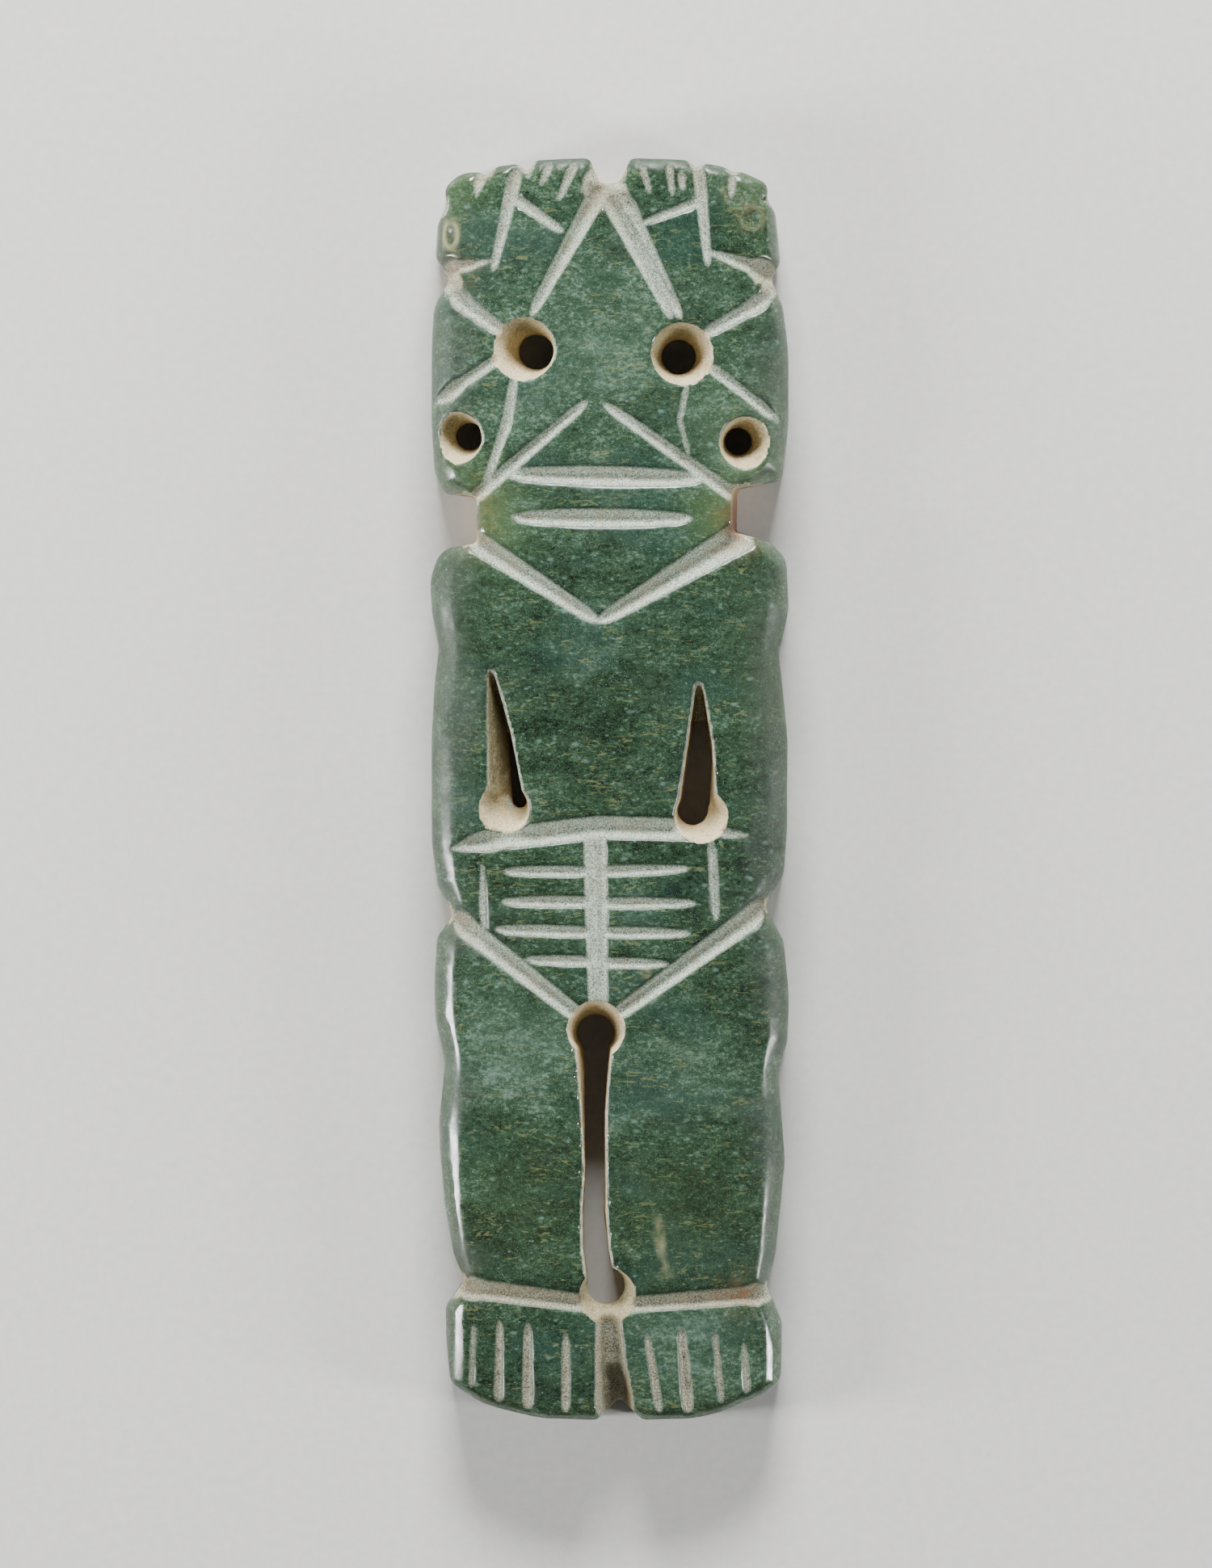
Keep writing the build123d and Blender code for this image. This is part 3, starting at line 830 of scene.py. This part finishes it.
class Nodes:
    """Short calls for one material's nodes. An input is a socket, a number or a colour."""

    def __init__(self, name):
        self.material = bpy.data.materials.new(name)
        self.material.use_nodes = True
        self.tree = self.material.node_tree
        self.shader = self.tree.nodes["Principled BSDF"]

    def put(self, node, name, value):
        if isinstance(value, bpy.types.NodeSocket):
            self.tree.links.new(value, node.inputs[name])
        else:
            node.inputs[name].default_value = value

    def add(self, kind, output, inputs, **settings):
        """The named output of a new node."""
        node = self.tree.nodes.new("ShaderNode" + kind)
        for name, value in settings.items():
            setattr(node, name, value)
        for name, value in inputs.items():
            self.put(node, name, value)
        return node.outputs[output]

    def attribute(self, name):
        return self.add("Attribute", "Fac", {}, attribute_name=name)

    def noise(self, coords, scale, detail, rough, warp):
        inputs = {"Vector": coords, "Scale": scale, "Detail": detail, "Roughness": rough, "Distortion": warp}
        return self.add("TexNoise", "Fac", inputs)

    def field(self, coords, name):
        """A noise field by its row in FIELDS."""
        return self.noise(coords, *FIELDS[name])

    def cells(self, coords, scale, output="Distance", feature="F1"):
        return self.add("TexVoronoi", output, {"Vector": coords, "Scale": scale}, feature=feature)

    def math(self, operation, first, second, third=None):
        inputs = {0: first, 1: second}
        if third is not None:
            inputs[2] = third
        return self.add("Math", "Value", inputs, operation=operation)

    def times(self, first, second):
        return self.math("MULTIPLY", first, second)

    def times_plus(self, first, second, third):
        return self.math("MULTIPLY_ADD", first, second, third)

    def step(self, value, low, high, start=0.0, end=1.0):
        """A smooth step from start to end as the value goes from low to high."""
        inputs = {"Value": value, "From Min": low, "From Max": high, "To Min": start, "To Max": end}
        return self.add("MapRange", "Result", inputs, interpolation_type="SMOOTHSTEP")

    def stepped(self, value, name):
        """A smooth step by its row in STEPS."""
        return self.step(value, *STEPS[name])

    def mix(self, share, first, second):
        inputs = {"Factor": share, MIX_FIRST: first, MIX_SECOND: second}
        return self.add("Mix", MIX_RESULT, inputs, data_type="RGBA")

    def drawn_out(self, coords, x, y, z, turn):
        inputs = {"Vector": coords, "Scale": (x, y, z), "Rotation": (0.0, 0.0, turn)}
        return self.add("Mapping", "Vector", inputs)

    def bump(self, height, row, normal=None):
        strength, deep = row
        inputs = {"Height": height, "Strength": strength, "Distance": deep * MM}
        if normal is not None:
            inputs["Normal"] = normal
        return self.add("Bump", "Normal", inputs)


def green_stone(n, mm, flat, fine):
    """The polished stone's colour, with painted sheen, glints, thin-edge glow and rim shade."""
    clouds = n.field(flat, "clouds")
    drifts = n.field(n.drawn_out(mm, *DRIFT_DRAW), "drifts")
    mottle = n.field(flat, "mottle")
    grains = n.cells(flat, GRAIN_CELLS, output="Color")
    net = n.stepped(n.cells(flat, NET_CELLS, feature="DISTANCE_TO_EDGE"), "net")
    tone_and_sheen = n.attribute("tone_and_sheen")
    level = n.times_plus(clouds, CLOUD_SHARE, n.times(tone_and_sheen, TONE_SHARE))
    level = n.times_plus(drifts, DRIFT_SHARE, level)
    level = n.times_plus(mottle, MOTTLE_SHARE, level)
    level = n.times_plus(fine, FINE_SHARE, level)
    level = n.times_plus(grains, GRAIN_SHARE, level)
    level = n.times_plus(net, NET_SHARE, level)
    green = n.mix(n.stepped(level, "green"), STONE_DARK, STONE_GREEN)
    green = n.mix(n.stepped(level, "pale"), green, STONE_PALE)
    # Painted sheen of the top light where the regions are paler
    painted_sheen = n.times(n.stepped(tone_and_sheen, "painted_sheen"), n.stepped(drifts, "painted sheen drifts"))
    green = n.mix(painted_sheen, green, PAINTED_SHEEN)
    green = n.mix(n.stepped(tone_and_sheen, "dark tone"), green, DARK_TONE)
    green = n.mix(n.stepped(n.field(flat, "blue"), "blue"), green, BLUE_GREEN)

    # Olive veins and flecks that run nearly level
    vein = n.stepped(n.field(n.drawn_out(mm, *VEIN_DRAW), "veins"), "veins")
    vein = n.times(vein, n.stepped(n.field(flat, "vein places"), "vein places"))
    green = n.mix(n.times(vein, VEIN_MOST), green, OLIVE)

    # Small pale crystals of two sizes, and painted glints of light
    full, least = CRYSTAL_EDGE
    for size, reach, most in CRYSTALS:
        places = n.stepped(n.noise(flat, size * CRYSTAL_PLACES, *PLACE_NOISE), "crystal places")
        crystal = n.times(n.step(n.cells(flat, size), reach * full, reach * least), places)
        green = n.mix(n.times(crystal, most), green, CRYSTAL)
    painted_glints = n.stepped(n.field(mm, "painted_glints"), "painted_glints")
    green = n.mix(n.times(painted_glints, PAINTED_GLINT_MOST), green, PAINTED_GLINT)

    # Painted glow of light through the thin edges, yellower places, matt rims with painted shade, and the
    # rings and scratches
    green = n.mix(n.times(n.attribute("edge"), EDGE_GLOW_MOST), green, PAINTED_EDGE_GLOW)
    green = n.mix(n.times(n.attribute("warm"), WARM_MOST), green, WARM_GREEN)
    green = n.mix(n.times(n.attribute("matt_and_shade"), RIM_SHADE_MOST), green, PAINTED_RIM_SHADE)
    return n.mix(n.attribute("drawn"), green, SCRATCH)


def jade():
    """The stone's material, with its carved places."""
    n = Nodes("jade")
    mm = n.drawn_out(n.add("TexCoord", "Object", {}), 1 / MM, 1 / MM, 1 / MM, 0.0)
    flat = n.drawn_out(mm, *GRAIN_DRAW)
    fine = n.field(n.drawn_out(mm, *FINE_DRAW), "fine")
    groove, wall = n.attribute("groove"), n.attribute("wall")
    dull_and_shade, brown, matt_and_shade = n.attribute("dull_and_shade"), n.attribute("brown"), n.attribute("matt_and_shade")
    green = green_stone(n, mm, flat, fine)

    # Matt ground stone in the sawn grooves: salt and pepper, with tan left in the deeper places
    grit = n.field(mm, "grit")
    off_middle = n.math("SUBTRACT", grit, NOISE_MIDDLE)
    patches = n.field(mm, "patches")
    pepper = n.stepped(grit, "pepper")
    ground = n.mix(pepper, *GROUND_GRAINS)
    ground = n.mix(n.times(dull_and_shade, DULL_GROOVE_MOST), ground, n.mix(pepper, *DULL_GRAINS))
    tan_share = n.times(n.stepped(patches, "groove patches"), n.stepped(n.attribute("deep"), "groove depth"))
    ground = n.mix(tan_share, ground, GROOVE_TAN)
    groove_mask = n.stepped(n.times_plus(off_middle, GROOVE_RAGGED, groove), "groove edge")
    groove_mask = n.times(groove_mask, n.stepped(groove, "groove ends"))
    body = n.mix(groove_mask, green, ground)

    # Tan walls of the drilled holes and the slots, with painted shade deeper in the holes and on their upper
    # walls
    tan_grit = n.stepped(n.field(mm, "tan grit"), "tan grit")
    tan = n.mix(tan_grit, *TAN_GRAINS)
    tan = n.mix(n.stepped(patches, "ochre"), tan, OCHRE)
    # Painted shade: browner and darker deeper in the holes
    tan = n.mix(n.stepped(n.attribute("sunk"), "sunk"), tan, PAINTED_DEPTH_SHADE)
    # Painted shade: darker olive-tan on the holes' and slots' upper walls
    tan = n.mix(n.times(dull_and_shade, WALL_SHADE_MOST), tan, n.mix(tan_grit, *PAINTED_SHADE_TAN_GRAINS))
    tan = n.mix(brown, tan, BROWN_STONE)
    wall_mask = n.stepped(n.times_plus(off_middle, WALL_RAGGED, wall), "wall edge")
    body = n.mix(wall_mask, body, tan)

    # Stains, stronger in the carved places
    carved_mask = n.math("MAXIMUM", groove_mask, wall_mask)
    stain = n.times(n.attribute("stain"), n.stepped(n.field(mm, "stains"), "stains"))
    stain = n.times(stain, n.times_plus(carved_mask, STAIN_CARVED, STAIN_POLISH))
    body = n.mix(stain, body, STAIN)
    body = n.mix(n.times(brown, BROWN_MOST), body, BROWN_STONE)

    # Polished, but worn in places and rough where it was carved
    rough = n.stepped(n.field(mm, "polish"), "polish")
    rough = n.math("ADD", rough, n.stepped(n.field(mm, "wear"), "wear"))
    rough = n.times_plus(matt_and_shade, MATT_ROUGH, rough)
    rough_share = n.math("MAXIMUM", n.stepped(groove, "matt groove"), wall_mask)
    rough = n.times_plus(n.math("SUBTRACT", GROUND_ROUGH, rough), rough_share, rough)

    n.put(n.shader, "Base Color", body)
    n.put(n.shader, "Roughness", rough)
    n.put(n.shader, "IOR", STONE_IOR)
    n.put(n.shader, "Subsurface Weight", STONE_GLOW)
    n.put(n.shader, "Subsurface Radius", GLOW_COLOURS)
    n.put(n.shader, "Subsurface Scale", GLOW_REACH * MM)

    # Pits in the polish, grit in the carved places, and the drill's marks on the walls
    normal = n.bump(n.stepped(fine, "pits"), PIT_BUMP)
    normal = n.bump(n.times(grit, carved_mask), GRIT_BUMP, normal)
    tool_marks = n.field(n.drawn_out(mm, *TOOL_DRAW), "tool marks")
    normal = n.bump(n.times(tool_marks, wall_mask), TOOL_BUMP, normal)
    n.put(n.shader, "Normal", normal)
    return n.material


def floor_paper():
    """The floor's pale paper."""
    n = Nodes("floor_paper")
    fibre = n.field(n.add("TexCoord", "Object", {}), "paper")
    n.put(n.shader, "Base Color", n.mix(n.stepped(fibre, "paper"), *PAPER_GRAINS))
    n.put(n.shader, "Roughness", PAPER_ROUGH)
    n.put(n.shader, "Normal", n.bump(fibre, PAPER_BUMP))
    return n.material


# The stone
worked, stone_maps = stone_mesh()
add_masks(worked, stone_maps)
worked.transform(Matrix.Scale(MM, 4))
worked.name = "jade_stone"
worked.materials.clear()
worked.materials.append(jade())
worked.polygons.foreach_set("use_smooth", np.ones(len(worked.polygons), dtype=bool))
stone = bpy.data.objects.new("jade_stone", worked)
bpy.context.scene.collection.objects.link(stone)
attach(stone, "root")
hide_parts("jade_figure")

# The floor
FLOOR_HALF = 0.9  # metres
floor_mesh = bpy.data.meshes.new("floor")
corners = [(x * FLOOR_HALF, y * FLOOR_HALF, 0) for x, y in ((-1, -1), (1, -1), (1, 1), (-1, 1))]
floor_mesh.from_pydata(corners, [], [(0, 1, 2, 3)])
floor_mesh.materials.append(floor_paper())
floor = bpy.data.objects.new("floor", floor_mesh)
bpy.context.scene.collection.objects.link(floor)


# Soft lamps, all turned to the stone: place, width and height in metres, watts
LAMPS = {
    "light_top": ((0.0, 0.80, 0.40), (0.40, 0.22), 20.5),
    "light_left": ((-0.60, -0.11, 0.22), (0.10, 0.30), 4.9),
    "light_right": ((0.60, -0.18, 0.22), (0.08, 0.20), 2.8),
}
ROOM_LIGHT = 0.10


def soft_light(name, at, size, power):
    """An area light at a place, turned to the stone's middle."""
    data = bpy.data.lights.new(name, "AREA")
    data.shape = "RECTANGLE"
    data.size, data.size_y = size
    data.energy = power
    light = bpy.data.objects.new(name, data)
    light.location = at
    light.rotation_mode = "QUATERNION"
    light.rotation_quaternion = (Vector() - Vector(at)).to_track_quat("-Z", "Y")
    bpy.context.scene.collection.objects.link(light)


for lamp, row in LAMPS.items():
    soft_light(lamp, *row)

world = bpy.data.worlds.new("studio")
world.use_nodes = True
background = world.node_tree.nodes["Background"]
background.inputs["Color"].default_value = (1.0, 1.0, 1.0, 1.0)
background.inputs["Strength"].default_value = ROOM_LIGHT
bpy.context.scene.world = world

# The camera looks straight down, far off, so that the photograph's frame fits the stone's face
CAMERA_AWAY = 1.4  # metres above the face
FACE_LEVEL = 0.010
SENSOR = 36.0
FARTHEST = 20.0
camera_data = bpy.data.cameras.new("camera")
camera_data.sensor_width = SENSOR
camera_data.lens = SENSOR * CAMERA_AWAY / (length(PHOTO[1]) * MM)
camera_data.clip_end = FARTHEST
camera = bpy.data.objects.new("camera", camera_data)
middle_x, middle_y = place(PHOTO[0] / 2, PHOTO[1] / 2)
camera.location = (middle_x * MM, middle_y * MM, FACE_LEVEL + CAMERA_AWAY)
bpy.context.scene.collection.objects.link(camera)
bpy.context.scene.camera = camera
